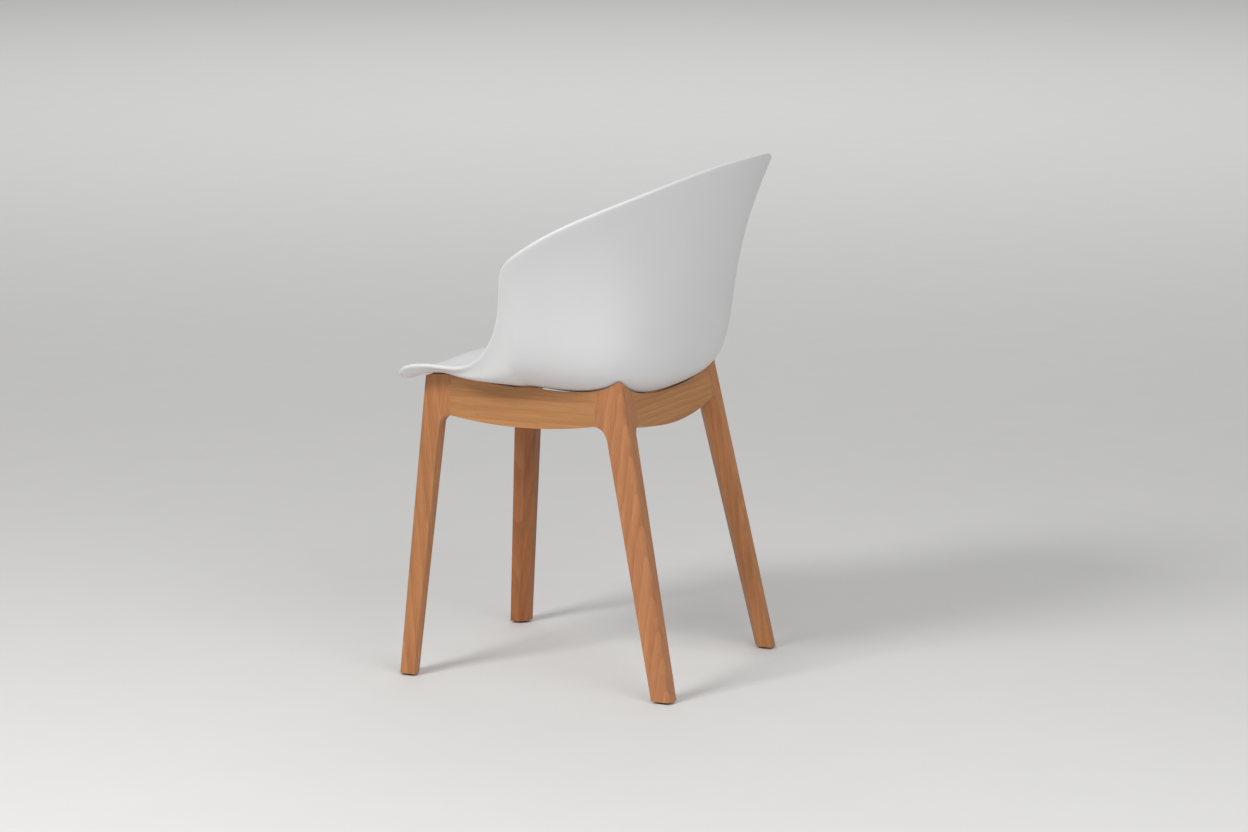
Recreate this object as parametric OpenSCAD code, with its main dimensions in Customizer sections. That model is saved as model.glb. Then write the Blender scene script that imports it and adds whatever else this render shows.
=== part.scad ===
// Dining chair: a moulded bucket shell on a four-legged wooden frame.
// +Z is up, the floor is at Z = 0, the sitter looks towards -Y and +X is the sitter's left.
// Inside the modules, distances along Y run back from the tip of the seat's front lip.

/* [Shell] */
// Height of the top of the back above the floor
chair_h = 785; // [725:5:855]
// Width across the two arms
arm_w = 590; // [530:5:640]
// Depth from the front lip to the back of the shell
shell_d = 498; // [470:2:550]
// Width of the seat in front of the arms
seat_w = 414; // [380:2:440]
// Height of the seat's front crest
seat_h = 473; // [430:1:500]
// How far the lowest part of the seat lies below the front crest
seat_dip = 38; // [28:1:44]
// How far the front lip turns down below the crest
lip_drop = 23; // [16:1:26]
// Height of the arms' front corners
arm_h = 658; // [620:2:690]
// Distance of the arms' front corners behind the lip
arm_set = 248; // [230:2:270]
// Thickness of the shell's wall
wall_t = 5; // [4:0.5:6]
// Thickness of the shell's rolled rim
rim_t = 7; // [6:0.5:9]

/* [Legs] */
// Width across the feet, outside to outside
foot_w = 407; // [370:1:440]
// Distance of the front feet behind the lip
front_foot_y = 11; // [4:1:30]
// Distance of the rear feet behind the lip
rear_foot_y = 461; // [430:1:490]
// Sideways lean of all four legs, in degrees
side_splay = 4; // [2:0.5:5]
// Forward lean of the front legs, in degrees
front_splay = 4; // [2:0.5:6]
// Backward lean of the rear legs, in degrees
rear_splay = 11.6; // [8:0.2:13]
// Front leg at the foot, across the chair
front_foot_x = 28; // [24:1:34]
// Front leg at the foot, along the chair
front_foot_l = 27; // [24:1:34]
// Front leg at the rails, across the chair
front_head_x = 33.5; // [30:0.5:38]
// Front leg at the rails, along the chair
front_head_l = 33; // [30:0.5:38]
// Rear leg at the foot, across the chair
rear_foot_x = 24; // [22:1:30]
// Rear leg at the foot, along the chair
rear_foot_l = 31.5; // [28:0.5:36]
// Rear leg at the rails, across the chair
rear_head_x = 28; // [26:0.5:34]
// Rear leg at the rails, along the chair
rear_head_l = 37.5; // [34:0.5:42]
// Radius of a leg's outermost edge
leg_round = 8; // [4:1:10]
// Flat worked off a leg's innermost edge
leg_flat = 12; // [8:1:14]

/* [Rails] */
// Thickness of the rails
rail_t = 20; // [18:1:24]
// Distance from the seat's crest down to the rails' ends
rail_drop = 74; // [65:1:90]
// How far the side rails bow down in the middle
side_bow = 10; // [4:1:16]
// How far the front and rear rails bow down in the middle
cross_bow = 15; // [4:1:20]
// Shadow gap between the frame and the shell
shell_gap = 2.5; // [1.5:0.5:4]
// Radius where the front legs meet the side rails
front_fillet = 17; // [8:1:20]
// Radius where the rear legs meet the side rails
rear_fillet = 22; // [8:1:24]
// Radius where the legs meet the front and rear rails
cross_fillet = 9; // [4:1:12]

/* [Joinery] */
// Diameter of the dowels
dowel_d = 8; // [6:1:10]
// Length of the dowels
dowel_l = 36; // [30:1:38]
// Distance between the two dowels of a joint
dowel_gap = 24; // [18:1:28]
// Length of a corner block along each rail
block_l = 72; // [70:1:80]
// Thickness of a corner block
block_t = 22; // [18:1:26]
// Diameter of the corner block screws
screw_d = 4.5; // [3.5:0.5:5]
// Length of the corner block screws under the head
screw_l = 30; // [24:1:32]

/* [Shell fixings] */
// Diameter of the bolts that hold the shell
bolt_d = 6; // [5:1:8]
// Diameter of the bosses under the shell
boss_d = 26; // [22:1:30]
// Diameter of the threaded inserts
insert_d = 9; // [8:0.5:12]
// Length of the threaded inserts
insert_l = 10; // [8:1:12]
// Thickness of the rubber buffers
buffer_t = 2; // [1:0.5:3]

/* [Glides] */
// Diameter of the glides under the legs
glide_d = 21; // [18:1:22]
// Thickness of the glides that shows below the leg
glide_t = 3; // [2:0.5:6]

/* [Hidden] */

$fn = 48;

// ---- Shell surface ----
// Heights and half widths of the rim, measured in the middle of its thickness
rim_r = rim_t / 2;
seat_hw = seat_w / 2 - rim_r;
arm_hw = arm_w / 2 - rim_r;
back_y = shell_d - rim_r;
back_z = chair_h - rim_r;
lip_z = seat_h - lip_drop;
side_over = 2.5;
side_z = seat_h + side_over;

// Centre of the seat, where all the shell's profiles start
hub_y = 206;
hub_z = seat_h - seat_dip;

// Half of the rim, from the middle of the lip to the middle of the back, in four runs.
// Lip: share of the seat's half width, distance back, height over the lip
LIP_RUN = [[0, rim_r, 0], [0.44, rim_r, -1], [0.84, rim_r + 5, 1]];
// Side of the seat: distance out from its half width, distance back, height over the side
SIDE_RUN = [[2, 26, -4], [0, 75, 2], [6, 130, 1]];
// Front of the arm: share of the way out, distance before its corner, share of its rise
ARM_RUN = [[0.25, 70, 0.20], [0.52, 39, 0.52], [0.83, 24, 0.85], [1, -4, 1]];
// Back: share of the arms' half width, share of the way back, share of the rise to the top
BACK_RUN = [[0.97, 0.27, 0.33], [0.82, 0.63, 0.655], [0.57, 0.845, 0.865],
            [0.29, 0.968, 0.985], [0, 1, 1]];
RIM = concat(
    [for (p = LIP_RUN) [p[0] * seat_hw, p[1], lip_z + p[2]]],
    [for (p = SIDE_RUN) [seat_hw + p[0], p[1], side_z + p[2]]],
    [for (p = ARM_RUN) [mix(seat_hw, arm_hw, p[0]), arm_set - p[1], mix(side_z, arm_h, p[2])]],
    [for (p = BACK_RUN) [p[0] * arm_hw, mix(arm_set, back_y, p[1]), mix(arm_h, back_z, p[2])]]);

half = len(RIM) - 1;
turns = 2 * half;
// Share of each station that is turned down as a lip
LIP = [1, 1, 1, 0.87, 0.13];

function mix(a, b, t) = a + (b - a) * t;
function lip_share(k) = k < len(LIP) ? LIP[k] : 0;
function flip(p) = [-p[0], p[1], p[2], p[3]];
function station(k) = let(i = k % turns) i <= half
    ? [RIM[i][0], RIM[i][1], RIM[i][2], lip_share(i)]
    : flip(station(turns - i));

// The closed rim with its corners sharpened, so that the spline passes through the stations
LOOP = [for (k = [0 : turns - 1])
    station(k) * 4 / 3 - (station(k + turns - 1) + station(k + 1)) / 6];

function cubic(t) = [pow(1 - t, 3), 3 * t * t * t - 6 * t * t + 4,
                     -3 * t * t * t + 3 * t * t + 3 * t + 1, t * t * t] / 6;
function rim_at(u) = let(i = floor(u), w = cubic(u - i))
    w[0] * LOOP[(i + turns - 1) % turns] + w[1] * LOOP[i % turns]
    + w[2] * LOOP[(i + 1) % turns] + w[3] * LOOP[(i + 2) % turns];

// Foot of the wall: where wall and seat would meet if they met in a corner
base_x = 0.35 * arm_w;
base_front = 155;
base_back = back_y - hub_y - 78;
base_power = 3.4;
base_z = hub_z - 10.5;
base_lift = seat_dip + 12;
function base_r(a) = let(b = cos(a) > 0 ? base_front : base_back)
    pow(pow(abs(sin(a)) / base_x, base_power) + pow(abs(cos(a)) / b, base_power), -1 / base_power);
function base_h(a) = base_z + base_lift * (1 + cos(a)) / 2;

// One profile, from the hub out to the rim, as [distance, height] control points
seat_share = 0.45;
seat_lift = 0.68;
wall_low = 0.385;
wall_top = 0.24;
// The back flares towards its top; the sides swell like a bowl and then stand upright
back_low_run = 0.07;
back_top_run = 0.55;
side_low_run = 0.42;
side_top_run = 0.3;
side_power = 6;
lip_run = 0.6;
lip_fall = 8;
base_in = 8;
function profile(q) =
    let(dy = hub_y - q[1],
        r = norm([q[0], dy]),
        a = atan2(abs(q[0]), dy),
        b = min(base_r(a), r - base_in),
        z = base_h(a),
        rise = q[2] - z,
        run = r - b,
        side = pow(sin(a), side_power),
        low_run = mix(back_low_run, side_low_run, side),
        top_run = mix(back_top_run, side_top_run, side))
    [[0, hub_z],
     [seat_share * b, mix(hub_z, z, seat_lift)],
     [b, z],
     [b + mix(low_run, lip_run, q[3]) * run, z + wall_low * rise - q[3] * lip_fall],
     [r - mix(top_run, 0, q[3]) * run, q[2] - wall_top * rise - q[3] * lip_fall],
     [r, q[2]]];

// Clamped cubic spline over the six control points, t from 0 to 1
function blend(a, b, t, lo, hi) = a + (b - a) * (t - lo) / (hi - lo);
function spline(p, t) = let(
        s = 3 * t,
        i = min(floor(s), 2),
        k = [0, 0, 0, 0, 1, 2, 3, 3, 3, 3],
        d1 = [for (j = [0 : 2]) blend(p[i + j], p[i + j + 1], s, k[i + j + 1], k[i + j + 4])],
        d2 = [for (j = [0 : 1]) blend(d1[j], d1[j + 1], s, k[i + j + 2], k[i + j + 4])])
    blend(d2[0], d2[1], s, k[i + 3], k[i + 4]);

function heading(q) = let(dy = q[1] - hub_y, r = norm([q[0], dy])) [q[0] / r, dy / r];
function point(q, rz) = let(h = heading(q)) [h[0] * rz[0], hub_y + h[1] * rz[0], rz[1]];

// The middle surface as a grid of rings: rows run outwards, columns run round the rim
cols = 3 * turns;
rows = 20;
GRID_STEP = 1 / rows;
function column(c) = let(q = rim_at(c * turns / cols), p = profile(q))
    [for (r = [1 : rows]) point(q, spline(p, r * GRID_STEP))];

function unit(v) = v / norm(v);
function normals(g) = [for (c = [0 : cols - 1]) let(
        before = g[(c + cols - 1) % cols],
        after = g[(c + 1) % cols])
    [for (r = [0 : rows - 1]) unit(cross(
        after[r] - before[r],
        g[c][min(r + 1, rows - 1)] - (r > 0 ? g[c][r - 1] : [0, hub_y, hub_z])))]];

// Half the thickness along a profile: the wall, swelling to the rim
swell_from = 0.8;
function half_t(r) = let(t = (r + 1) / rows)
    mix(wall_t, rim_t, pow(max(0, (t - swell_from) / (1 - swell_from)), 2)) / 2;

cap_steps = 4;
module seat_shell() color("white") place() {
    g = [for (c = [0 : cols - 1]) column(c)];
    n = normals(g);
    last = rows - 1;
    edge = [for (c = [0 : cols - 1])
        unit(cross(n[c][last], g[(c + 1) % cols][last] - g[(c + cols - 1) % cols][last]))];
    up = [for (r = [0 : last]) [for (c = [0 : cols - 1]) g[c][r] - half_t(r) * n[c][r]]];
    cap = [for (k = [1 : cap_steps - 1]) let(a = 180 * k / cap_steps)
        [for (c = [0 : cols - 1])
            g[c][last] - rim_r * cos(a) * n[c][last] + rim_r * sin(a) * edge[c]]];
    down = [for (r = [last : -1 : 0]) [for (c = [0 : cols - 1]) g[c][r] + half_t(r) * n[c][r]]];
    skin([0, hub_y, hub_z + wall_t / 2], concat(up, cap, down), [0, hub_y, hub_z - wall_t / 2]);
}

// A closed skin over rings of points, with a point at each end
module skin(first, rings, final) {
    m = len(rings[0]);
    count = len(rings);
    polyhedron(
        points = concat([first], [for (ring = rings) each ring], [final]),
        faces = concat(
            [for (c = [0 : m - 1]) [0, 1 + c, 1 + (c + 1) % m]],
            [for (k = [0 : count - 2]) for (c = [0 : m - 1]) let(
                a = 1 + k * m + c,
                b = 1 + k * m + (c + 1) % m)
                each [[a, a + m, b + m], [a, b + m, b]]],
            [for (c = [0 : m - 1]) let(s = 1 + (count - 1) * m)
                [s + c, count * m + 1, s + (c + 1) % m]]));
}

// Height of the shell's underside above a place in plan
function find_u(a, lo = 0, hi = half, n = 22) = let(u = (lo + hi) / 2, q = rim_at(u))
    n == 0 ? u : atan2(q[0], hub_y - q[1]) < a ? find_u(a, u, hi, n - 1) : find_u(a, lo, u, n - 1);
function find_t(p, r, lo = 0, hi = 1, n = 18) = let(t = (lo + hi) / 2)
    n == 0 ? t : spline(p, t)[0] < r ? find_t(p, r, t, hi, n - 1) : find_t(p, r, lo, t, n - 1);
t_probe = 0.004;
function under(x, y) = let(
        p = profile(rim_at(find_u(atan2(abs(x), hub_y - y)))),
        t = find_t(p, norm([x, y - hub_y])),
        a = spline(p, max(t - t_probe, 0)),
        b = spline(p, min(t + t_probe, 1)),
        slope = (b[1] - a[1]) / (b[0] - a[0]))
    spline(p, t)[1] - wall_t / 2 * sqrt(1 + slope * slope);

// The room that the shell takes above a rectangle in plan, less the shadow gap
relief_h = 160;
relief_step = 9;
module relief(x0, x1, y0, y1) {
    nx = ceil((x1 - x0) / relief_step);
    ny = ceil((y1 - y0) / relief_step);
    w = nx + 1;
    m = w * (ny + 1);
    low = [for (j = [0 : ny]) for (i = [0 : nx]) let(
            x = mix(x0, x1, i / nx),
            y = mix(y0, y1, j / ny))
        [x, y, under(x, y) - shell_gap]];
    ring = concat([for (i = [0 : nx - 1]) i], [for (j = [0 : ny - 1]) nx + j * w],
                  [for (i = [nx : -1 : 1]) ny * w + i], [for (j = [ny : -1 : 1]) j * w]);
    polyhedron(
        points = concat(low, [for (p = low) [p[0], p[1], seat_h + relief_h]]),
        faces = concat(
            [for (j = [0 : ny - 1]) for (i = [0 : nx - 1]) let(a = j * w + i)
                each [[a, a + 1, a + w + 1], [a, a + w + 1, a + w]]],
            [for (j = [0 : ny - 1]) for (i = [0 : nx - 1]) let(a = m + j * w + i)
                each [[a, a + w + 1, a + 1], [a, a + w, a + w + 1]]],
            [for (k = [0 : len(ring) - 1]) let(a = ring[k], b = ring[(k + 1) % len(ring)])
                each [[a, a + m, b + m], [a, b + m, b]]]));
}

// ---- Frame: planes and places ----
slit = 0.02;
tiny = 0.1;
weld = 3;
// How far a cutting shape runs past what it cuts
past = 1;
cross_ear = 4;
ear_root = 14;
ear_h = 105;
rail_h = 85;
rail_z = seat_h - rail_drop;
blank_top = seat_h + 22;

// Outer faces of the legs at a height
function side_x(z) = foot_w / 2 - z * tan(side_splay);
function front_y(z) = front_foot_y + z * tan(front_splay);
function rear_y(z) = rear_foot_y - z * tan(rear_splay);
function sized(foot, head, z) = mix(foot, head, z / rail_z);

// Inner faces of the legs where the rails' ends begin
front_in = front_y(rail_z) + front_head_l;
rear_in = rear_y(rail_z) - rear_head_l;
side_in_front = side_x(rail_z) - front_head_x;
side_in_rear = side_x(rail_z) - rear_head_x;

// Open angle under each joint, and where its fillet ends: the seam between leg and rail
function open_angle(splay, foot, head) = 90 + atan(tan(splay) + (head - foot) / rail_z);
front_angle = open_angle(front_splay, front_foot_l, front_head_l);
rear_angle = open_angle(rear_splay, rear_foot_l, rear_head_l);
front_cross_angle = open_angle(side_splay, front_foot_x, front_head_x);
rear_cross_angle = open_angle(side_splay, rear_foot_x, rear_head_x);
function fillet_reach(r, angle) = r / tan(angle / 2);
front_seam = front_in + fillet_reach(front_fillet, front_angle);
rear_seam = rear_in - fillet_reach(rear_fillet, rear_angle);
front_cross_seam = side_in_front - fillet_reach(cross_fillet, front_cross_angle) - cross_ear;
rear_cross_seam = side_in_rear - fillet_reach(cross_fillet, rear_cross_angle) - cross_ear;

module place() translate([0, -shell_d / 2, 0]) children();
module other_side() mirror([1, 0, 0]) children();

// Sheets of wood that lie in the leaning faces of the legs. The child is drawn flat:
// its X runs along the rail and its Y up the face.
module side_plane() translate([foot_w / 2, 0, 0]) rotate([0, -side_splay, 0]) children();
module front_plane() translate([0, front_foot_y, 0]) rotate([-front_splay, 0, 0]) children();
module rear_plane() translate([0, rear_foot_y, 0]) rotate([rear_splay, 0, 0]) children();
module side_sheet(t = rail_t) side_plane()
    rotate([90, 0, 90]) translate([0, 0, -t]) linear_extrude(t) children();
module front_sheet(t = rail_t) front_plane()
    rotate([90, 0, 0]) translate([0, 0, -t]) linear_extrude(t) children();
module rear_sheet(t = rail_t) rear_plane()
    rotate([90, 0, 0]) linear_extrude(t) children();

// The corner of a joint with its fillet, at the origin, opening to the right and down
module fillet(r, angle) {
    reach = fillet_reach(r, angle);
    difference() {
        polygon([[-weld, 0], [reach, 0], [reach, -r],
                 [-reach * cos(180 - angle), -reach * sin(180 - angle)],
                 [-reach * cos(180 - angle) - weld, -reach * sin(180 - angle)]]);
        translate([reach, -r]) circle(r);
    }
}

// ---- Legs ----
soft = 2;
module leg_section(w, l) {
    c = leg_flat;
    r = leg_round;
    hull() {
        translate([-r, r]) circle(r, $fn = 32);
        translate([-w + soft, soft]) circle(soft, $fn = 16);
        translate([-soft, l - soft]) circle(soft, $fn = 16);
        polygon([[-w + c, l], [-w, l - c], [-w + c, l - c]]);
    }
}

module leg_slice(z, w, l, y, turned) translate([side_x(z), y, z])
    mirror([0, turned, 0]) linear_extrude(slit) leg_section(w, l);

module front_blank() hull() {
    leg_slice(glide_t, front_foot_x, front_foot_l, front_y(glide_t), 0);
    leg_slice(blank_top, sized(front_foot_x, front_head_x, blank_top),
              sized(front_foot_l, front_head_l, blank_top), front_y(blank_top), 0);
}

// Furthest place forward that the rear leg's blank reaches
rear_head_in = rear_y(blank_top) - sized(rear_foot_l, rear_head_l, blank_top);
module rear_blank() hull() {
    leg_slice(glide_t, rear_foot_x, rear_foot_l, rear_y(glide_t), 1);
    leg_slice(blank_top, sized(rear_foot_x, rear_head_x, blank_top),
              sized(rear_foot_l, rear_head_l, blank_top), rear_y(blank_top), 1);
}

// The ears that a leg's head reaches out to the rails, with the fillets below them.
// A fillet is only as thick as the flat face of the leg that it runs into.
front_fillet_t = min(rail_t, front_head_x - leg_flat);
rear_fillet_t = min(rail_t, rear_head_x - leg_flat);
front_cross_t = min(rail_t, front_head_l - leg_flat);
rear_cross_t = min(rail_t, rear_head_l - leg_flat);

module ear(from, to) translate([min(from, to), 0]) square([abs(to - from), ear_h]);

module front_ears() {
    side_sheet() translate([0, rail_z / cos(side_splay)])
        ear(front_in - ear_root, front_seam);
    side_sheet(front_fillet_t) translate([front_in, rail_z / cos(side_splay)])
        fillet(front_fillet, front_angle);
    front_sheet() translate([0, rail_z / cos(front_splay)])
        ear(side_in_front + ear_root, front_cross_seam);
    front_sheet(front_cross_t) translate([side_in_front, rail_z / cos(front_splay)])
        mirror([1, 0]) fillet(cross_fillet, front_cross_angle);
}

module rear_ears() {
    side_sheet() translate([0, rail_z / cos(side_splay)])
        ear(rear_in + ear_root, rear_seam);
    side_sheet(rear_fillet_t) translate([rear_in, rail_z / cos(side_splay)])
        mirror([1, 0]) fillet(rear_fillet, rear_angle);
    rear_sheet() translate([0, rail_z / cos(rear_splay)])
        ear(side_in_rear + ear_root, rear_cross_seam);
    rear_sheet(rear_cross_t) translate([side_in_rear, rail_z / cos(rear_splay)])
        mirror([1, 0]) fillet(cross_fillet, rear_cross_angle);
}

// Middle of the legs' feet, where the glides sit
front_glide = [side_x(0) - front_foot_x / 2, front_y(0) + front_foot_l / 2];
rear_glide = [side_x(0) - rear_foot_x / 2, rear_y(0) - rear_foot_l / 2];

module front_leg() color("peru") place() difference() {
    union() {
        front_blank();
        front_ears();
    }
    relief(front_cross_seam - past, side_x(rail_z) + past,
           front_y(rail_z) - past, front_seam + past);
    dowels_side(front_seam, tiny);
    dowels_front(tiny);
    foot_hole(front_glide);
}

module rear_leg() color("peru") place() difference() {
    union() {
        rear_blank();
        rear_ears();
    }
    relief(rear_cross_seam - past, side_x(rail_z) + past,
           min(rear_seam, rear_head_in) - past, rear_y(rail_z) + past);
    dowels_side(rear_seam, tiny);
    dowels_rear(tiny);
    foot_hole(rear_glide);
}

module leg_front_left() front_leg();
module leg_front_right() other_side() front_leg();
module leg_rear_left() rear_leg();
module leg_rear_right() other_side() rear_leg();

// ---- Rails ----
// A rail drawn flat between two seams, its lower edge bowed down
module rail_shape(a, b, z, bow) {
    r = (pow((b - a) / 2, 2) + bow * bow) / (2 * bow);
    intersection() {
        translate([a, z - bow]) square([b - a, rail_h]);
        translate([(a + b) / 2, z - bow + r]) circle(r, $fn = 360);
    }
}

module side_rail() color("burlywood") place() difference() {
    side_sheet() rail_shape(front_seam, rear_seam, rail_z / cos(side_splay), side_bow);
    relief(side_x(rail_z + rail_h) - rail_t - past, side_x(rail_z - side_bow) + past,
           front_seam - past, rear_seam + past);
    dowels_side(front_seam, tiny);
    dowels_side(rear_seam, tiny);
    side_screws(front_corner[1] + screw_set, tiny);
    side_screws(rear_corner[1] - screw_set, tiny);
}

module front_rail() color("burlywood") place() difference() {
    front_sheet() rail_shape(-front_cross_seam, front_cross_seam,
                             rail_z / cos(front_splay), cross_bow);
    relief(-front_cross_seam - past, front_cross_seam + past,
           front_y(rail_z - cross_bow) - past, front_y(rail_z + rail_h) + rail_t + past);
    both_sides() {
        dowels_front(tiny);
        front_screws(tiny);
    }
}

module rear_rail() color("burlywood") place() difference() {
    rear_sheet() rail_shape(-rear_cross_seam, rear_cross_seam,
                            rail_z / cos(rear_splay), cross_bow);
    relief(-rear_cross_seam - past, rear_cross_seam + past,
           rear_y(rail_z + rail_h) - rail_t - past, rear_y(rail_z - cross_bow) + past);
    both_sides() {
        dowels_rear(tiny);
        rear_screws(tiny);
    }
}

module side_rail_left() side_rail();
module side_rail_right() other_side() side_rail();
module both_sides() {
    children();
    other_side() children();
}

// ---- Dowels ----
// Two round dowels across each seam, in the middle of the rails' thickness
dowel_low = 12;
module dowel_pair(splay, fit) for (k = [0, 1])
    translate([0, 0, rail_z / cos(splay) + dowel_low + k * dowel_gap])
        cylinder_x(dowel_d + fit, dowel_l + fit);
module cylinder_x(d, l) rotate([0, 90, 0]) cylinder(d = d, h = l, center = true);

module dowels_side(seam, fit = 0) side_plane() translate([-rail_t / 2, seam, 0])
    rotate([0, 0, 90]) dowel_pair(side_splay, fit);
module dowels_front(fit = 0) front_plane() translate([front_cross_seam, rail_t / 2, 0])
    dowel_pair(front_splay, fit);
module dowels_rear(fit = 0) rear_plane() translate([rear_cross_seam, -rail_t / 2, 0])
    dowel_pair(rear_splay, fit);

module side_rail_dowels() color("tan") place() both_sides() {
    dowels_side(front_seam);
    dowels_side(rear_seam);
}
module front_rail_dowels() color("tan") place() both_sides() dowels_front();
module rear_rail_dowels() color("tan") place() both_sides() dowels_rear();

// ---- Corner blocks ----
// A block fills each inner corner. Its shape is drawn from the corner between the rails'
// inner faces, with +X running inwards along one rail and +Y along the other.
block_up = 2;
block_z = rail_z + block_up;
block_top = block_z + block_t;
block_mid = block_z + block_t / 2;
block_clip = 20;
block_over = 6;
space = 400;
front_corner = [side_x(block_mid) - rail_t, front_y(block_mid) + rail_t];
rear_corner = [side_x(block_mid) - rail_t, rear_y(block_mid) - rail_t];

// The blocks' screws pass the ends of the dowels in the rails
screw_clear = 1.2;
seam_far = max(front_seam - front_corner[1], rear_corner[1] - rear_seam,
               front_corner[0] - front_cross_seam, rear_corner[0] - rear_cross_seam);
screw_set = seam_far + dowel_l / 2 + screw_d / 2 + screw_clear;

// The shell's bosses stand clear of the rear legs' heads, which lean in above the blocks
boss_clear = 3;
boss_tip = seat_h - 15;
lean_in = (boss_tip - block_mid) * (tan(rear_splay) + tan(side_splay));
head_reach = sized(rear_foot_x, rear_head_x, boss_tip) + sized(rear_foot_l, rear_head_l, boss_tip)
    - 2 * rail_t - leg_flat + lean_in;
bolt_set = head_reach / 2 + (boss_d / 2 + boss_clear) / sqrt(2);

module at_front_corner() translate([front_corner[0], front_corner[1], 0])
    mirror([1, 0, 0]) children();
module at_rear_corner() translate([rear_corner[0], rear_corner[1], 0])
    mirror([1, 0, 0]) mirror([0, 1, 0]) children();

module block_blank() translate([0, 0, block_z]) linear_extrude(block_t) polygon([
    [block_clip + block_over, -block_over], [block_l + block_over, -block_over],
    [-block_over, block_l + block_over], [-block_over, block_clip + block_over]]);
module block_bores() translate([bolt_set, bolt_set, block_z - past]) {
    cylinder(d = bolt_d + bolt_play, h = block_t + 2 * past);
    cylinder(d = washer_d + washer_play, h = bolt_sink + past);
}
module inside_sides() side_plane() translate([-rail_t - tiny - space, -space, 0])
    cube([space, 3 * space, 2 * space]);
module inside_front() front_plane() translate([-space, rail_t + tiny, 0])
    cube([2 * space, space, 2 * space]);
module inside_rear() rear_plane() translate([-space, -rail_t - tiny - space, 0])
    cube([2 * space, space, 2 * space]);

module front_block() color("wheat") place() difference() {
    intersection() {
        at_front_corner() block_blank();
        inside_sides();
        inside_front();
    }
    at_front_corner() block_bores();
    side_screws(front_corner[1] + screw_set, tiny);
    front_screws(tiny);
}
module rear_block() color("wheat") place() difference() {
    intersection() {
        at_rear_corner() block_blank();
        inside_sides();
        inside_rear();
    }
    at_rear_corner() block_bores();
    side_screws(rear_corner[1] - screw_set, tiny);
    rear_screws(tiny);
}
module corner_block_front_left() front_block();
module corner_block_front_right() other_side() front_block();
module corner_block_rear_left() rear_block();
module corner_block_rear_right() other_side() rear_block();

// A screw along +X, its head's underside at the origin. With a fit it is the hole for one.
head_h = 3.5;
head_play = 1;
head_space = 20;
module screw_x(fit) rotate([0, 90, 0]) {
    cylinder(d = screw_d + fit, h = screw_l + fit);
    translate([0, 0, fit > 0 ? -head_space : -head_h])
        cylinder(d = 2 * screw_d + (fit > 0 ? head_play : 0), h = fit > 0 ? head_space : head_h);
}
head_in = block_l - screw_set - head_h - head_play;
module side_screws(y, fit = 0)
    translate([front_corner[0] - head_in, y, block_mid]) screw_x(fit);
module front_screws(fit = 0)
    translate([front_corner[0] - screw_set, front_corner[1] + head_in, block_mid])
        rotate([0, 0, -90]) screw_x(fit);
module rear_screws(fit = 0)
    translate([rear_corner[0] - screw_set, rear_corner[1] - head_in, block_mid])
        rotate([0, 0, 90]) screw_x(fit);
module corner_block_screws() color("silver") place() both_sides() {
    side_screws(front_corner[1] + screw_set);
    side_screws(rear_corner[1] - screw_set);
    front_screws();
    rear_screws();
}

// ---- Shell fixings ----
// A bolt comes up through each corner block into an insert in a boss under the shell
washer_t = 1.5;
washer_d = 3 * bolt_d;
washer_play = 2;
bolt_play = 0.6;
bolt_sink = 6;
bolt_head = 4;
bolt_short = 0.5;
bolt_l = washer_t + block_t - bolt_sink + buffer_t + insert_l - bolt_short;
key_d = 0.7 * bolt_d;
key_depth = 2.5;
boss_z = block_top + buffer_t;
touch = 0.05;
FIX = [[front_corner[0] - bolt_set, front_corner[1] + bolt_set],
       [rear_corner[0] - bolt_set, rear_corner[1] - bolt_set]];
module fixings() both_sides() for (p = FIX) translate([p[0], p[1], 0]) children();

module boss(p) {
    z = under(p[0], p[1]) - touch;
    slope = [under(p[0] + 1, p[1]) - under(p[0] - 1, p[1]),
             under(p[0], p[1] + 1) - under(p[0], p[1] - 1)] / 2;
    difference() {
        translate([p[0], p[1], boss_z]) cylinder(d = boss_d, h = z - boss_z + boss_d / 2);
        translate([p[0], p[1], boss_z - past])
            cylinder(d = insert_d + tiny, h = insert_l + 2 * past);
        translate([p[0], p[1], z])
            rotate(a = atan(norm(slope)), v = [slope[1], -slope[0], 0])
                translate([-space / 2, -space / 2, 0]) cube([space, space, boss_d]);
    }
}
module shell_bosses() color("white") place() both_sides() for (p = FIX) boss(p);
module shell_inserts() color("gold") place() fixings() difference() {
    translate([0, 0, boss_z]) cylinder(d = insert_d, h = insert_l);
    translate([0, 0, boss_z - past]) cylinder(d = bolt_d + tiny, h = insert_l + 2 * past);
}
module shell_buffers() color("dimgray") place() fixings() difference() {
    translate([0, 0, block_top]) cylinder(d = boss_d, h = buffer_t);
    translate([0, 0, block_top - past]) cylinder(d = bolt_d + bolt_play, h = buffer_t + 2 * past);
}
module shell_washers() color("silver") place() fixings() difference() {
    translate([0, 0, block_z + bolt_sink - washer_t]) cylinder(d = washer_d, h = washer_t);
    translate([0, 0, block_z]) cylinder(d = bolt_d + bolt_play, h = block_t);
}
module shell_bolts() color("silver") place() fixings()
    translate([0, 0, block_z + bolt_sink - washer_t]) difference() {
        union() {
            cylinder(d = bolt_d, h = bolt_l);
            translate([0, 0, -bolt_head]) cylinder(d = 2 * bolt_d, h = bolt_head);
        }
        translate([0, 0, -bolt_head - past]) cylinder(d = key_d, h = key_depth + past, $fn = 6);
    }

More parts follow.
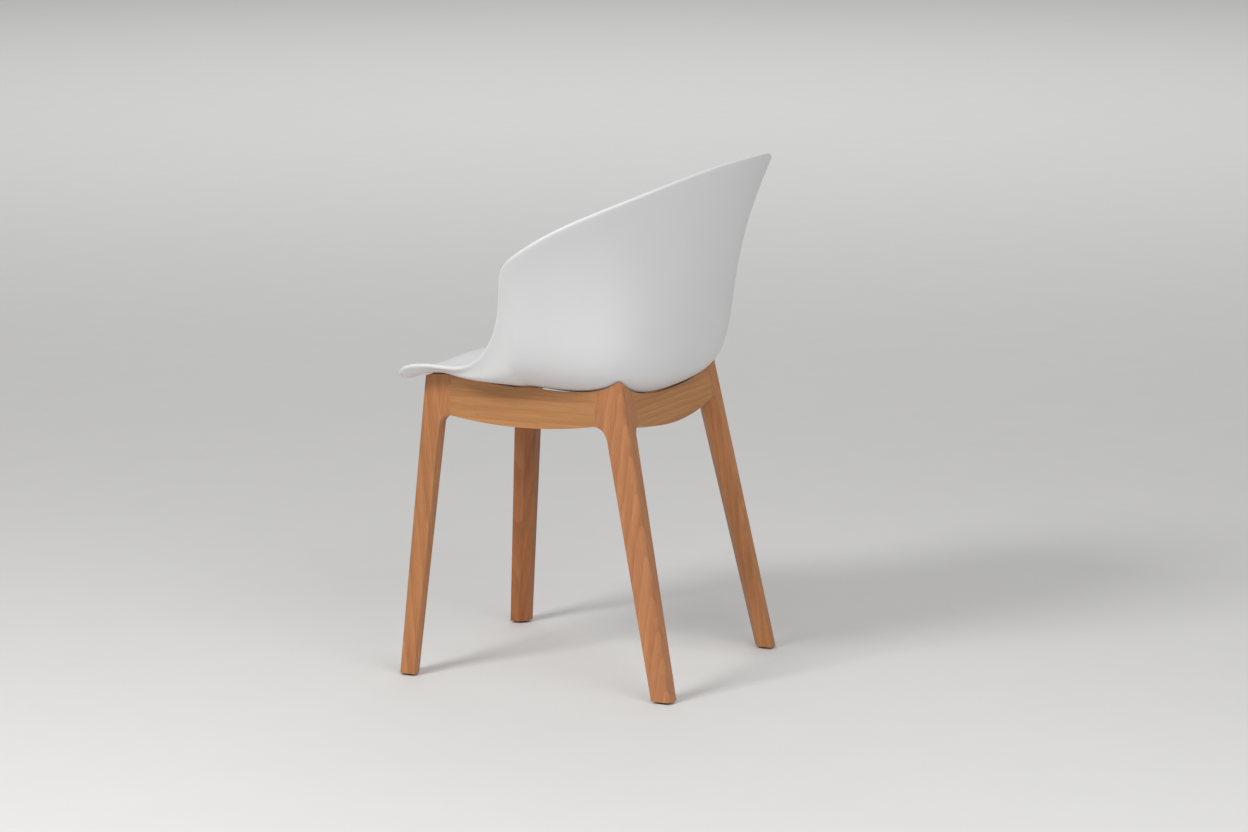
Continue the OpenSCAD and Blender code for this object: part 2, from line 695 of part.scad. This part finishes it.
// ---- Glides ----
// A nailed-on foot: a peg that sits in the leg's end, and a screw that holds it from below
spigot_d = 7;
spigot_l = 12;
glide_ease = 1;
pin_d = 3;
pin_l = 24;
pin_head_d = 6;
pin_head_t = 0.9;
pin_sink = 0.6;
pin_seat = pin_sink + pin_head_t;
pin_top = glide_t + pin_l;
module foot_hole(p) translate([p[0], p[1], 0]) {
    cylinder(d = spigot_d + tiny, h = glide_t + spigot_l + tiny);
    cylinder(d = pin_d + tiny, h = pin_top + past);
}
module glide(p) color("black") place() translate([p[0], p[1], 0]) difference() {
    union() {
        cylinder(d1 = glide_d - 2 * glide_ease, d2 = glide_d, h = glide_ease);
        translate([0, 0, glide_ease]) cylinder(d = glide_d, h = glide_t - glide_ease);
        cylinder(d = spigot_d, h = glide_t + spigot_l);
    }
    translate([0, 0, -past]) {
        cylinder(d = pin_d + tiny, h = pin_top);
        cylinder(d = pin_head_d + tiny, h = pin_seat + tiny + past);
    }
}
module glide_front_left() glide(front_glide);
module glide_front_right() other_side() glide(front_glide);
module glide_rear_left() glide(rear_glide);
module glide_rear_right() other_side() glide(rear_glide);
module glide_screws() color("silver") place() both_sides() for (p = [front_glide, rear_glide])
    translate([p[0], p[1], pin_sink]) {
        cylinder(d = pin_head_d, h = pin_head_t);
        cylinder(d = pin_d, h = pin_top - pin_sink);
    }

seat_shell();
leg_front_left();
leg_front_right();
leg_rear_left();
leg_rear_right();
side_rail_left();
side_rail_right();
front_rail();
rear_rail();
corner_block_front_left();
corner_block_front_right();
corner_block_rear_left();
corner_block_rear_right();
side_rail_dowels();
front_rail_dowels();
rear_rail_dowels();
corner_block_screws();
shell_bosses();
shell_inserts();
shell_buffers();
shell_bolts();
shell_washers();
glide_front_left();
glide_front_right();
glide_rear_left();
glide_rear_right();
glide_screws();
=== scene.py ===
# %% [markdown]
# A dining chair with a moulded shell on a wooden frame. Its parts come from an engineering
# model, so their sizes and places are settled before this lesson starts. What is left is the
# work of a finisher: eased edges, timber with a grain that runs the right way in each part,
# moulded plastic, plated screws and a quiet studio to see them in. The first cell loads the parts.

# %% Load the chair's parts
import math

import bmesh
import bpy
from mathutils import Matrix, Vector


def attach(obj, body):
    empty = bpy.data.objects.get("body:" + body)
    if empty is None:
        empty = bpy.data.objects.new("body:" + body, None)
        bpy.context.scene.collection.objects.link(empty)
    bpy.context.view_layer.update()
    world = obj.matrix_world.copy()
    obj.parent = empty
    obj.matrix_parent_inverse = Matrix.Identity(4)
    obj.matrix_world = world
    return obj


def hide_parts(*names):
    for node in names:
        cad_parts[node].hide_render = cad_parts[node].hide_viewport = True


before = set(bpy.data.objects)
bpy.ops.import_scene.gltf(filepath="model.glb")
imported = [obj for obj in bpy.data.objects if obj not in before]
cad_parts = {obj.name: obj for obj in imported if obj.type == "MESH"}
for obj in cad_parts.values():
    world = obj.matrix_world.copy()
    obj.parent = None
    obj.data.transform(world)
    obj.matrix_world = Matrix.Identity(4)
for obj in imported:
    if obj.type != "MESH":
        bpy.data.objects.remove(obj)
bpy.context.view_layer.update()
BODY = "root"

# %% [markdown]
# A long lens far away keeps the legs almost parallel, the way furniture is usually shown. The
# camera stands on the sitter's left, a little behind the chair and looking slightly down, so
# the curve of the back, the corner of the frame and all four legs are seen at once. A camera
# that isn't turned looks straight down, so a quarter turn brings it level first.

# %% Camera
LENS_MM = 112.5
SENSOR_MM = 36.0
QUARTER_TURN = math.pi / 2
CAMERA_PLACE = Vector((5.2554, 2.4682, 1.4237))
CAMERA_DOWN = math.radians(10.18)
CAMERA_TURN = math.radians(114.77)


def make_camera():
    """The camera that the scene is seen through."""
    data = bpy.data.cameras.new("camera")
    data.lens = LENS_MM
    data.sensor_width = SENSOR_MM
    camera = bpy.data.objects.new("camera", data)
    camera.location = CAMERA_PLACE
    camera.rotation_euler = (QUARTER_TURN - CAMERA_DOWN, 0, CAMERA_TURN)
    bpy.context.scene.collection.objects.link(camera)
    bpy.context.scene.camera = camera
    return camera


camera = make_camera()
print("camera:", camera.data.lens, "mm lens,", round(camera.location.length, 2), "m away")

# %% [markdown]
# Meshes are built and finished in bmesh, Blender's modelling toolkit for scripts. Three small
# helpers are used for the frame and the shell: one opens a part of the chair as a welded copy,
# one picks the edges between faces that meet at more than a given angle, and one turns a bmesh
# into a smooth object that rides with the chair in the place of the part it came from.

# %% Mesh helpers
def welded_copy(node, gap):
    """A part's mesh as a bmesh, with its loose triangles joined at their corners."""
    copy = bmesh.new()
    copy.from_mesh(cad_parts[node].data)
    bmesh.ops.remove_doubles(copy, verts=copy.verts[:], dist=gap)
    return copy


def sharp_edges(mesh_data, angle):
    """The edges where two faces meet at more than an angle."""
    return [edge for edge in mesh_data.edges if edge.is_manifold and edge.calc_face_angle() > angle]


def finish_piece(name, mesh_data, material, node):
    """Make a smooth object of a bmesh and tie it to the chair, in the place of a part."""
    for face in mesh_data.faces:
        face.smooth = True
    mesh = bpy.data.meshes.new(name)
    mesh_data.to_mesh(mesh)
    mesh_data.free()
    mesh.materials.append(material)
    piece = bpy.data.objects.new(name, mesh)
    bpy.context.scene.collection.objects.link(piece)
    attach(piece, BODY)
    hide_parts(node)
    return piece


print("mesh helpers ready")

# %% [markdown]
# A material is easier to trust when its effects are built once and reused. A node group is that
# reusable effect: it takes a few named inputs and puts out a colour, a roughness and a height,
# while the Principled shader stays in each material. Two helpers make an empty group with its
# sockets and join the results to its outputs. Two more fill one input, by a link or with a plain
# value, and add a node with all its inputs filled.

# %% Group and node helpers
EFFECT_OUTPUTS = {"Color": "Color", "Roughness": "Float", "Height": "Float"}


def new_group(name, inputs, outputs):
    """A shader node group whose sockets are given as {title: kind}."""
    group = bpy.data.node_groups.new(name, "ShaderNodeTree")
    for direction, sockets in (("INPUT", inputs), ("OUTPUT", outputs)):
        for title, kind in sockets.items():
            group.interface.new_socket(title, in_out=direction, socket_type="NodeSocket" + kind)
    return group, group.nodes.new("NodeGroupInput"), group.nodes.new("NodeGroupOutput")


def put_out(tree, outlet, **results):
    """Join an effect's results to the outputs of its group."""
    for title, socket in results.items():
        tree.links.new(socket, outlet.inputs[title])


def feed(tree, socket, value):
    """Link an input to another socket, or set it to a plain value."""
    if isinstance(value, bpy.types.NodeSocket):
        tree.links.new(value, socket)
    else:
        socket.default_value = value


def add_node(tree, kind, settings=None, **values):
    """A node with its settings and inputs; an underscore in a title stands for a space."""
    node = tree.nodes.new("ShaderNode" + kind)
    for title, value in (settings or {}).items():
        setattr(node, title, value)
    for title, value in values.items():
        feed(tree, node.inputs[title.replace("_", " ")], value)
    return node


print("effects put out:", ", ".join(EFFECT_OUTPUTS))

# %% [markdown]
# The effects need the same few steps again and again: a sum, a mix of two colours, a colour made
# lighter or darker, a value stretched from one range to another, a space for a texture, and noise
# in it. Each is a helper that returns the one output that the next step wants. The Mix node has a
# set of sockets for every kind of data, so its colour sockets are picked by their numbers.

# %% Value and colour helpers
MIX_SHARE = 0
MIX_LOW = 6
MIX_HIGH = 7
MIX_RESULT = 2
FULL_SHARE = 1.0
FULL_RANGE = (0.0, 1.0)
UNMOVED = (0.0, 0.0, 0.0)


def add_math(tree, operation, first, second, clamp=False):
    """One sum of two values."""
    node = add_node(tree, "Math", {"operation": operation, "use_clamp": clamp})
    for socket, value in zip(node.inputs, (first, second)):
        feed(tree, socket, value)
    return node.outputs["Value"]


def add_blend(tree, share, low, high, blend="MIX"):
    """Two colours mixed, or blended in another way."""
    node = add_node(tree, "Mix", {"data_type": "RGBA", "blend_type": blend})
    for number, value in ((MIX_SHARE, share), (MIX_LOW, low), (MIX_HIGH, high)):
        feed(tree, node.inputs[number], value)
    return node.outputs[MIX_RESULT]


def add_shade(tree, colour, tone):
    """A colour made lighter or darker by a factor."""
    grey = add_node(tree, "CombineColor", Red=tone, Green=tone, Blue=tone).outputs["Color"]
    return add_blend(tree, FULL_SHARE, colour, grey, "MULTIPLY")


def add_range(tree, value, source, target=FULL_RANGE):
    """A value stretched from one (low, high) range to another."""
    limits = zip(("From_Min", "From_Max", "To_Min", "To_Max"), (*source, *target))
    return add_node(tree, "MapRange", Value=value, **dict(limits)).outputs["Result"]


def add_space(tree, place, scale, shift=UNMOVED):
    """A texture space; a scale below one makes a pattern longer in that direction."""
    return add_node(tree, "Mapping", Vector=place, Scale=scale, Location=shift).outputs["Vector"]


def add_noise(tree, space, **values):
    """Noise in a space, as a value from black to white."""
    return add_node(tree, "TexNoise", Vector=space, **values).outputs["Fac"]


print("value and colour helpers ready")

# %% [markdown]
# Timber looks like timber because of three scales at once. The largest is the growth rings.
# They are cylinders round the tree's heart, so a board sawn from beside the heart shows long,
# slightly wavy stripes. A Wave texture draws them, in a space whose Z runs along the board. Its
# saw profile gives each ring a soft start and a hard end, and a slow sway keeps them from being
# perfect circles.

# %% Growth rings
SWAY_SCALE = (1.0, 1.0, 0.25)
SWAY_NOISE = {"Scale": 7.0, "Detail": 3.0}
SWAY_REACH = 9.0
HEART_SHIFT = (0.055, 0.085, 0.0)
RING_SCALE = (1.0, 1.0, 0.05)
RING_STYLE = {"wave_type": "RINGS", "rings_direction": "Z", "wave_profile": "SAW"}
RING_WAVE = {"Scale": 38.0, "Distortion": 2.6, "Detail": 2.0, "Detail_Scale": 1.2}


def growth_rings(tree, place):
    """The stripes of a board that was sawn from beside the tree's heart."""
    sway = add_noise(tree, add_space(tree, place, SWAY_SCALE), **SWAY_NOISE)
    phase = add_math(tree, "MULTIPLY", sway, SWAY_REACH)
    space = add_space(tree, place, RING_SCALE, HEART_SHIFT)
    rings = add_node(tree, "TexWave", RING_STYLE, Vector=space, Phase_Offset=phase, **RING_WAVE)
    return rings.outputs["Fac"]


print("ring scale:", RING_WAVE["Scale"])

# %% [markdown]
# The smaller scales are all noise that is drawn out along the board: fibres nearly thirty times
# longer than they are wide, broader streaks of the same shape, and the short, darker flecks that
# beech is known by. Slow patches make one end of a board a little lighter than the other. One
# helper makes every layer, from its scale, its noise and the range of the noise that counts.

# %% Fibres, streaks, flecks and patches
FIBRES = {"scale": (1.0, 1.0, 0.035), "source": (0.3, 0.7),
          "noise": {"Scale": 520.0, "Detail": 5.0, "Roughness": 0.65}}
STREAKS = {"scale": FIBRES["scale"], "source": (0.35, 0.68),
           "noise": {"Scale": 90.0, "Detail": 3.0}}
FLECKS = {"scale": (1.0, 1.0, 0.11), "source": (0.66, 0.76),
          "noise": {"Scale": 620.0, "Detail": 2.0}}
PATCHES = {"scale": SWAY_SCALE, "source": (0.3, 0.7), "target": (0.9, 1.08),
           "noise": {"Scale": 11.0, "Detail": 1.0}}


def grain_layer(tree, place, scale, noise, source, target=FULL_RANGE):
    """Noise in its own space, stretched to the range that the layer needs."""
    space = add_space(tree, place, scale)
    return add_range(tree, add_noise(tree, space, **noise), source, target)


print("fibres are", round(1 / FIBRES["scale"][2]), "times longer than wide")

# %% [markdown]
# The timber group lays the scales over each other. Rings and streaks share the figure, fibres
# are added to it, and the sum says how far the colour goes from light to dark wood. Flecks are
# painted last. The same fibres make the lacquer a little rougher and stand a little proud, and
# the flecks sink.

# %% Timber grain group
TIMBER_INPUTS = {"Vector": "Vector", "Light": "Color", "Dark": "Color", "Fleck": "Color",
                 "Figure": "Float", "Fibre": "Float", "Flecks": "Float", "Gloss": "Float"}
EVEN_SHARE = 0.5
FIBRE_ROUGHNESS = 0.14


def make_timber_group():
    """Plain-sawn wood, from its colours and the strength of each scale."""
    tree, inlet, outlet = new_group("timber grain", TIMBER_INPUTS, EFFECT_OUTPUTS)
    given = inlet.outputs
    place = given["Vector"]
    fibres = grain_layer(tree, place, **FIBRES)
    rings = add_math(tree, "MULTIPLY", growth_rings(tree, place), given["Figure"])
    streaks = add_math(tree, "MULTIPLY", grain_layer(tree, place, **STREAKS), given["Figure"])
    fleck_share = add_math(tree, "MULTIPLY", grain_layer(tree, place, **FLECKS), given["Flecks"])
    fibre_share = add_math(tree, "MULTIPLY", fibres, given["Fibre"])
    share = add_math(tree, "ADD", rings, streaks)
    share = add_math(tree, "MULTIPLY", share, EVEN_SHARE)
    share = add_math(tree, "ADD", share, fibre_share, clamp=True)
    colour = add_blend(tree, share, given["Light"], given["Dark"])
    colour = add_shade(tree, colour, grain_layer(tree, place, **PATCHES))
    colour = add_blend(tree, fleck_share, colour, given["Fleck"])
    rough = add_math(tree, "MULTIPLY", fibres, FIBRE_ROUGHNESS)
    rough = add_math(tree, "ADD", rough, given["Gloss"])
    height = add_math(tree, "SUBTRACT", fibres, fleck_share)
    put_out(tree, outlet, Color=colour, Roughness=rough, Height=height)
    return tree


TIMBER_GRAIN = make_timber_group()
print("timber grain:", len(TIMBER_GRAIN.nodes), "nodes")

# %% [markdown]
# Moulded plastic is never quite smooth. The tool is etched with a fine, even texture that scatters
# the highlight, and over a hand's breadth the skin is a touch glossier in some places. The same
# group serves plastic, rubber, plated metal and floor paint, each with its own values.

# %% Moulded skin group
SKIN_INPUTS = {"Vector": "Vector", "Tint": "Color", "Grain": "Float", "Gloss": "Float",
               "Drift": "Float"}
ETCHED_NOISE = {"Detail": 2.0, "Roughness": 0.6}
DRIFT_NOISE = {"Scale": 9.0, "Detail": 3.0}
NOISE_RANGE = (0.3, 0.7)
DRIFT_RANGE = (-1.0, 1.0)
SPECKLE_RANGE = (-0.05, 0.05)
TONE_DRIFT = 0.3
FULL_TONE = 1.0


def make_skin_group():
    """An even skin with a fine grain and a slow drift in tone and gloss."""
    tree, inlet, outlet = new_group("moulded skin", SKIN_INPUTS, EFFECT_OUTPUTS)
    given = inlet.outputs
    grain = add_noise(tree, given["Vector"], Scale=given["Grain"], **ETCHED_NOISE)
    drift = add_noise(tree, given["Vector"], **DRIFT_NOISE)
    drift = add_range(tree, drift, NOISE_RANGE, DRIFT_RANGE)
    drift = add_math(tree, "MULTIPLY", drift, given["Drift"])
    tone = add_math(tree, "MULTIPLY", drift, TONE_DRIFT)
    tone = add_math(tree, "SUBTRACT", FULL_TONE, tone)
    colour = add_shade(tree, given["Tint"], tone)
    rough = add_math(tree, "ADD", drift, given["Gloss"])
    speckle = add_range(tree, grain, NOISE_RANGE, SPECKLE_RANGE)
    rough = add_math(tree, "ADD", rough, speckle)
    put_out(tree, outlet, Color=colour, Roughness=rough, Height=grain)
    return tree


MOULDED_SKIN = make_skin_group()
print("moulded skin:", len(MOULDED_SKIN.nodes), "nodes")

# %% [markdown]
# Every finish below is built the same way: object coordinates go through a Mapping node into an
# effect group, the group's colour and roughness go to the Principled shader, and its height goes
# through a Bump node. Values that belong to the shader alone, such as a coat of lacquer, are set
# on the shader itself.

# %% Material helper
def group_material(name, group, values, bump, depth, turn=UNMOVED, shift=UNMOVED, **shader_values):
    """A Principled material whose colour, roughness and bump come from an effect group."""
    material = bpy.data.materials.new(name)
    material.use_nodes = True
    tree = material.node_tree
    shader = tree.nodes["Principled BSDF"]
    place = add_node(tree, "TexCoord").outputs["Object"]
    mapping = add_node(tree, "Mapping", Vector=place, Rotation=turn, Location=shift)
    effect = add_node(tree, "Group", {"node_tree": group})
    tree.links.new(mapping.outputs["Vector"], effect.inputs["Vector"])
    for title, value in values.items():
        effect.inputs[title].default_value = value
    skin = add_node(tree, "Bump", Strength=bump, Distance=depth, Height=effect.outputs["Height"])
    tree.links.new(effect.outputs["Color"], shader.inputs["Base Color"])
    tree.links.new(effect.outputs["Roughness"], shader.inputs["Roughness"])
    tree.links.new(skin.outputs["Normal"], shader.inputs["Normal"])
    for title, value in shader_values.items():
        shader.inputs[title.replace("_", " ")].default_value = value
    return material


print("material helper ready")

# %% [markdown]
# The frame is lacquered beech. No two boards match, so every leg and rail has a tone of its own
# and is cut from its own place in the tree. The far front leg's tone is much darker than the rest:
# that part of it is painted shade, for the side of the frame away from the key light. For timber
# the Mapping node turns the board's length onto Z, and three turns are enough: upright, front to
# back, and side to side.

# %% Beech
GRAIN_UP = UNMOVED
GRAIN_ALONG = (QUARTER_TURN, 0, 0)
GRAIN_ACROSS = (0, -QUARTER_TURN, 0)
BEECH = {"Light": (0.58, 0.262, 0.092, 1), "Dark": (0.32, 0.118, 0.034, 1),
         "Fleck": (0.16, 0.055, 0.02, 1), "Figure": 0.62, "Fibre": 0.34, "Flecks": 0.35,
         "Gloss": 0.42}
# Each board's own tone; the far front leg's much darker tone is painted shade.
BOARD_TONES_AND_SHADE = {"leg_front_left": (0.92, 0.87, 0.88), "leg_front_right": (0.74, 0.60, 0.50),
               "leg_rear_left": (0.99, 0.94, 1.05), "leg_rear_right": (1.0, 0.93, 0.88),
               "side_rail_left": (1.0, 1.06, 1.08), "side_rail_right": (0.95, 1.0, 1.0),
               "front_rail": (0.94, 0.97, 0.95), "rear_rail": (0.97, 0.98, 0.85)}
BOARD_TURNS = {"leg": GRAIN_UP, "side": GRAIN_ALONG, "front": GRAIN_ACROSS, "rear": GRAIN_ACROSS}
BOARD_STEP = (0.31, 0.17, 0.0)
OPAQUE = (1,)


def beech(node, number):
    """The lacquered timber of one part of the frame, the numbered board from the tree."""
    values = dict(BEECH)
    # The board tone also darkens the far front leg, as painted shade.
    for title in ("Light", "Dark"):
        toned_and_shaded = tuple(level * tone for level, tone in zip(BEECH[title], BOARD_TONES_AND_SHADE[node]))
        values[title] = toned_and_shaded + OPAQUE
    turn = BOARD_TURNS[node.split("_")[0]]
    shift = [step * number for step in BOARD_STEP]
    return group_material("beech " + node.replace("_", " "), TIMBER_GRAIN, values, bump=0.25,
                          depth=6e-5, turn=turn, shift=shift, Coat_Weight=0.12, Coat_Roughness=0.3)


print("boards:", len(BOARD_TONES_AND_SHADE))

# %% [markdown]
# The frame's parts are timber, so every arris is eased: a sharp edge would splinter and would
# catch no light. Each part is opened as a welded copy, its flat faces are joined back into single
# faces, and the edges that are still sharp get a small round. Weighted normals then keep the big
# faces flat in the light while the rounds stay soft.

# %% Frame timber
TIMBER_WELD = 1e-4
EASE = 0.0011
EASE_STEPS = 2
ROUND_PROFILE = 0.5
NEIGHBOUR_MATERIAL = -1
FLAT_ANGLE = math.radians(0.6)
SHARP_ANGLE = math.radians(32)
SMOOTH_LIMIT = math.radians(40)


def eased_part(node, material):
    """A part of the frame as a new piece with rounded arrises."""
    part = welded_copy(node, TIMBER_WELD)
    bmesh.ops.dissolve_limit(part, angle_limit=FLAT_ANGLE, verts=part.verts[:], edges=part.edges[:])
    bmesh.ops.bevel(part, geom=sharp_edges(part, SHARP_ANGLE), offset=EASE, segments=EASE_STEPS,
                    profile=ROUND_PROFILE, affect="EDGES", material=NEIGHBOUR_MATERIAL,
                    clamp_overlap=True)
    piece = finish_piece(node + "_timber", part, material, node)
    piece.data.set_sharp_from_angle(angle=SMOOTH_LIMIT)
    weights = piece.modifiers.new("flat faces", "WEIGHTED_NORMAL")
    weights.keep_sharp = True
    return piece


for number, node in enumerate(BOARD_TONES_AND_SHADE):
    piece = eased_part(node, beech(node, number))
    print(piece.name, len(piece.data.polygons), "faces")

# %% [markdown]
# The plastics are one skin with three sets of values. The shell is a satin white that is a touch
# cool, the glides are a black that takes scuffs, and the buffers between shell and frame are
# rubber, which is nearly dull.

# %% Plastics and rubber
SHELL_SKIN = {"Tint": (0.72, 0.72, 0.73, 1), "Grain": 1400.0, "Gloss": 0.42, "Drift": 0.04}
GLIDE_SKIN = {"Tint": (0.02, 0.02, 0.021, 1), "Grain": 1800.0, "Gloss": 0.45, "Drift": 0.06}
RUBBER_SKIN = {"Tint": (0.03, 0.03, 0.03, 1), "Grain": 1200.0, "Gloss": 0.75, "Drift": 0.08}
WHITE_SHELL = group_material("shell plastic", MOULDED_SKIN, SHELL_SKIN, bump=0.12, depth=5e-5)
BLACK_GLIDE = group_material("glide plastic", MOULDED_SKIN, GLIDE_SKIN, bump=0.2, depth=5e-5)
BUFFER_RUBBER = group_material("buffer rubber", MOULDED_SKIN, RUBBER_SKIN, bump=0.3, depth=8e-5)
print("finishes so far:", len(bpy.data.materials))

# %% [markdown]
# The shell is one thin moulding. Its mesh is a net of rings and columns, split into triangles, so
# the triangles are paired back into squares and two levels of subdivision turn the net into the
# smooth skin that a mould gives.

# %% Seat shell
SHELL_WELD = 1e-5
NET_ANGLE = math.radians(60)
SKIN_LEVELS = 2
SQUARE_CORNERS = 4


def make_shell():
    """The shell as a net of squares under a subdivision surface."""
    net = welded_copy("seat_shell", SHELL_WELD)
    bmesh.ops.join_triangles(net, faces=net.faces[:], angle_face_threshold=NET_ANGLE,
                             angle_shape_threshold=NET_ANGLE)
    shell = finish_piece("seat_shell_moulding", net, WHITE_SHELL, "seat_shell")
    smooth = shell.modifiers.new("smooth skin", "SUBSURF")
    smooth.levels = SKIN_LEVELS
    smooth.render_levels = SKIN_LEVELS
    return shell


shell = make_shell()
squares = [face for face in shell.data.polygons if len(face.vertices) == SQUARE_CORNERS]
print("shell net:", len(squares), "squares of", len(shell.data.polygons), "faces")

# %% [markdown]
# The small parts stay as the engineering model has them and only get their finishes. Bolts,
# screws and washers are zinc plated, the threaded inserts are brass, and the corner blocks and
# dowels are plain wood without lacquer, paler and drier than the frame.

# %% Small parts
ZINC_SKIN = {"Tint": (0.56, 0.57, 0.58, 1), "Grain": 700.0, "Gloss": 0.32, "Drift": 0.1}
BRASS_SKIN = {"Tint": (0.72, 0.5, 0.2, 1), "Grain": 600.0, "Gloss": 0.3, "Drift": 0.1}
PLAIN_WOOD = {"Light": (0.56, 0.36, 0.19, 1), "Dark": (0.46, 0.27, 0.13, 1),
              "Fleck": (0.28, 0.15, 0.07, 1), "Figure": 0.5, "Fibre": 0.4, "Flecks": 0.3,
              "Gloss": 0.6}
DOWEL_SHIFT = (0.2, 0.1, 0)
ZINC = group_material("zinc plate", MOULDED_SKIN, ZINC_SKIN, bump=0.1, depth=3e-5, Metallic=1.0)
BRASS = group_material("brass", MOULDED_SKIN, BRASS_SKIN, bump=0.1, depth=3e-5, Metallic=1.0)
BLOCK_WOOD = group_material("block wood", TIMBER_GRAIN, PLAIN_WOOD, bump=0.4, depth=1e-4,
                            turn=GRAIN_ACROSS)
DOWEL_WOOD = group_material("dowel wood", TIMBER_GRAIN, PLAIN_WOOD, bump=0.4, depth=1e-4,
                            turn=GRAIN_ALONG, shift=DOWEL_SHIFT)
FINISH = {"corner_block_screws": ZINC, "shell_bolts": ZINC, "shell_washers": ZINC,
          "glide_screws": ZINC, "shell_inserts": BRASS, "shell_buffers": BUFFER_RUBBER,
          "shell_bosses": WHITE_SHELL, "side_rail_dowels": DOWEL_WOOD,
          "front_rail_dowels": DOWEL_WOOD, "rear_rail_dowels": DOWEL_WOOD}
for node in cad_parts:
    if node.startswith("corner_block_"):
        FINISH.setdefault(node, BLOCK_WOOD)
    if node.startswith("glide_"):
        FINISH.setdefault(node, BLACK_GLIDE)
for node, material in FINISH.items():
    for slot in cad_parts[node].material_slots:
        slot.material = material
print("finished small parts:", len(FINISH))

# %% [markdown]
# A plain studio needs a floor that runs out of sight, so that no horizon cuts through the chair.
# A flat sheet is enough. Its paint is the moulded skin again, with a coarse grain and hardly any
# gloss.

# %% Floor
FLOOR_SIZE = 60.0
FLOOR_SKIN = {"Tint": (0.74, 0.74, 0.735, 1), "Grain": 60.0, "Gloss": 0.8, "Drift": 0.02}


def make_floor():
    """A wide flat sheet under the chair."""
    surface = bmesh.new()
    bmesh.ops.create_grid(surface, x_segments=1, y_segments=1, size=FLOOR_SIZE / 2)
    mesh = bpy.data.meshes.new("floor")
    surface.to_mesh(mesh)
    surface.free()
    mesh.materials.append(group_material("floor paint", MOULDED_SKIN, FLOOR_SKIN, bump=0.02,
                                         depth=1e-4))
    floor = bpy.data.objects.new("floor", mesh)
    bpy.context.scene.collection.objects.link(floor)
    return floor


floor = make_floor()
print(floor.name, FLOOR_SIZE, "m wide")

# %% [markdown]
# Three soft lights stand round the chair. The key light hangs high on the sitter's left and in
# front, so that the shadow falls away behind the chair as the camera sees it. A broader, weaker
# light fills the foreground, and a very large one over the far floor keeps the backdrop from
# sinking into grey. Places are measured along the camera's own left and towards the camera, so
# that each light's side of the view can be read from its numbers. An even sky fills the shadows.

# %% Lights and sky
CAMERA_LEFT = Vector((0.42, -0.91, 0.0))
TO_CAMERA = Vector((0.91, 0.42, 0.0))
UP = Vector((0.0, 0.0, 1.0))
WHITE = (1.0, 1.0, 1.0)
LIGHTS = {
    "key light": {"place": CAMERA_LEFT * 1.8 + TO_CAMERA * 1.75 + UP * 2.65, "aim": UP * 0.4,
                  "size": 0.9, "watts": 58.0, "colour": (1.0, 0.99, 0.975)},
    "foreground light": {"place": TO_CAMERA * 2.9 - CAMERA_LEFT * 1.6 + UP * 2.2,
                         "aim": TO_CAMERA * 2.0 - CAMERA_LEFT * 1.4,
                         "size": 2.4, "watts": 48.0, "colour": WHITE},
    "backdrop light": {"place": UP * 6.0 - TO_CAMERA * 9.0, "aim": TO_CAMERA * -10.0,
                       "size": 9.0, "watts": 300.0, "colour": WHITE}}
SKY = {"Color": (1.0, 0.995, 0.985, 1), "Strength": 0.39}


def soft_light(name, place, aim, size, watts, colour):
    """A square area light that looks at a place."""
    data = bpy.data.lights.new(name, "AREA")
    data.size = size
    data.energy = watts
    data.color = colour
    lamp = bpy.data.objects.new(name, data)
    lamp.location = place
    lamp.rotation_euler = (aim - place).to_track_quat("-Z", "Y").to_euler()
    bpy.context.scene.collection.objects.link(lamp)


for name, light in LIGHTS.items():
    soft_light(name, **light)
world = bpy.data.worlds.new("studio")
world.use_nodes = True
for title, value in SKY.items():
    world.node_tree.nodes["Background"].inputs[title].default_value = value
bpy.context.scene.world = world
bpy.context.scene.view_settings.view_transform = "Standard"
print("lights:", ", ".join(LIGHTS))
